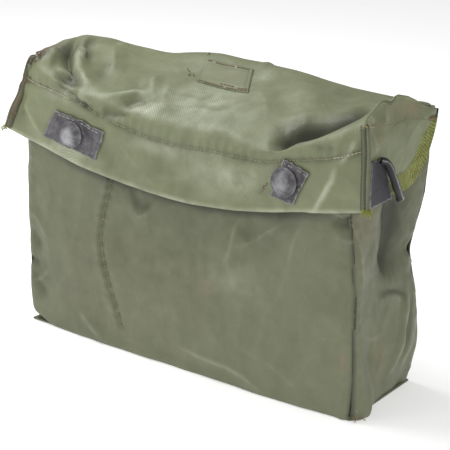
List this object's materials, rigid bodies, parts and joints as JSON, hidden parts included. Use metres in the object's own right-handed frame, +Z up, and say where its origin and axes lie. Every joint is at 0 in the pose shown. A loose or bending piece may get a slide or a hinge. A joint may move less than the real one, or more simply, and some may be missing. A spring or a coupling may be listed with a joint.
{
  "type": "mail sack",
  "caption": "Box-shaped mail bag of rubber-coated canvas with a boxed lid, press fasteners on leather tabs, an inner divider and webbing side straps.",
  "frame": {"origin": "middle of the base, on the surface that the sack stands on", "axes": "+X along the front from left to right, +Y from the front panel to the back panel, +Z up"},
  "size_m": [0.3844, 0.1203, 0.2479],
  "materials": {
    "body_canvas": "olive rubber-coated canvas, semi-gloss with a fine weave",
    "lid_canvas": "olive rubber-coated canvas, semi-gloss, lighter and creased",
    "webbing": "matt yellow-green cotton webbing",
    "black_leather": "worn black leather",
    "fastener_metal": "black lacquered steel, worn grey on the crown",
    "thread": "tan and brown sewing thread"
  },
  "bodies": {
    "bag": {"bottom_panel": "body_canvas", "front_panel": "body_canvas", "back_panel": "body_canvas", "right_gusset": "body_canvas", "left_gusset": "body_canvas", "divider": "body_canvas", "hinge_tape": "lid_canvas", "right_side_strap": "webbing", "left_side_strap": "webbing", "right_stud_patch": "black_leather", "left_stud_patch": "black_leather", "right_fastener_stud": "fastener_metal", "left_fastener_stud": "fastener_metal", "right_fastener_eyelet": "fastener_metal", "left_fastener_eyelet": "fastener_metal"},
    "lid": {"lid_top": "lid_canvas", "front_flap": "lid_canvas", "flap_facing": "lid_canvas", "top_patch": "lid_canvas", "right_wing": "lid_canvas", "left_wing": "lid_canvas", "right_corner_binding": "lid_canvas", "left_corner_binding": "lid_canvas", "right_fastener_tab": "black_leather", "left_fastener_tab": "black_leather", "right_fastener_cap": "fastener_metal", "left_fastener_cap": "fastener_metal", "right_fastener_socket": "fastener_metal", "left_fastener_socket": "fastener_metal"},
    "right_keeper": {"right_keeper": "black_leather"},
    "left_keeper": {"left_keeper": "black_leather"}
  },
  "joints": [
    {"name": "lid_hinge", "type": "hinge", "parent": "bag", "child": "lid", "pos_m": [0, 0.0538, 0.2453], "axis": [-1, 0, 0], "range_deg": [0, 240]},
    {"name": "right_keeper_fold", "type": "hinge", "parent": "lid", "child": "right_keeper", "pos_m": [0.1789, -0.0533, 0.1993], "axis": [0, 0, -1], "range_deg": [0, 90]},
    {"name": "left_keeper_fold", "type": "hinge", "parent": "lid", "child": "left_keeper", "pos_m": [-0.1789, -0.0533, 0.1993], "axis": [0, 0, 1], "range_deg": [0, 90]}
  ]
}
